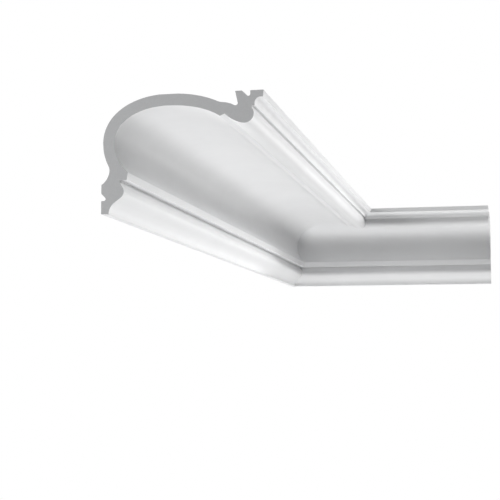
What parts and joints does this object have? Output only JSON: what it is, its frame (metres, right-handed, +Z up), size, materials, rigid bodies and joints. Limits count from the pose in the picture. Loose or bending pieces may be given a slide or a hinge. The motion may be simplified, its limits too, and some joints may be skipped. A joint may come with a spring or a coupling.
{
  "type": "cornice moulding",
  "caption": "Inside corner of a coved cornice moulding, mitred, with an ogee foot, a deep open cove and a torus head, fixed where walls meet the ceiling.",
  "frame": {"origin": "inside corner of the room's walls at the level of the moulding's lower edge, where the mitre starts on the side wall's face", "axes": "+X to the right along the back wall and away from the side wall, +Y towards the back wall, +Z up to the ceiling"},
  "size_m": [0.332, 1, 0.11],
  "materials": {
    "primed_white": "factory-primed smooth matt white; the cut ends show the fine grey core"
  },
  "bodies": {
    "root": {"side_length": "primed_white", "back_length": "primed_white"}
  },
  "joints": []
}
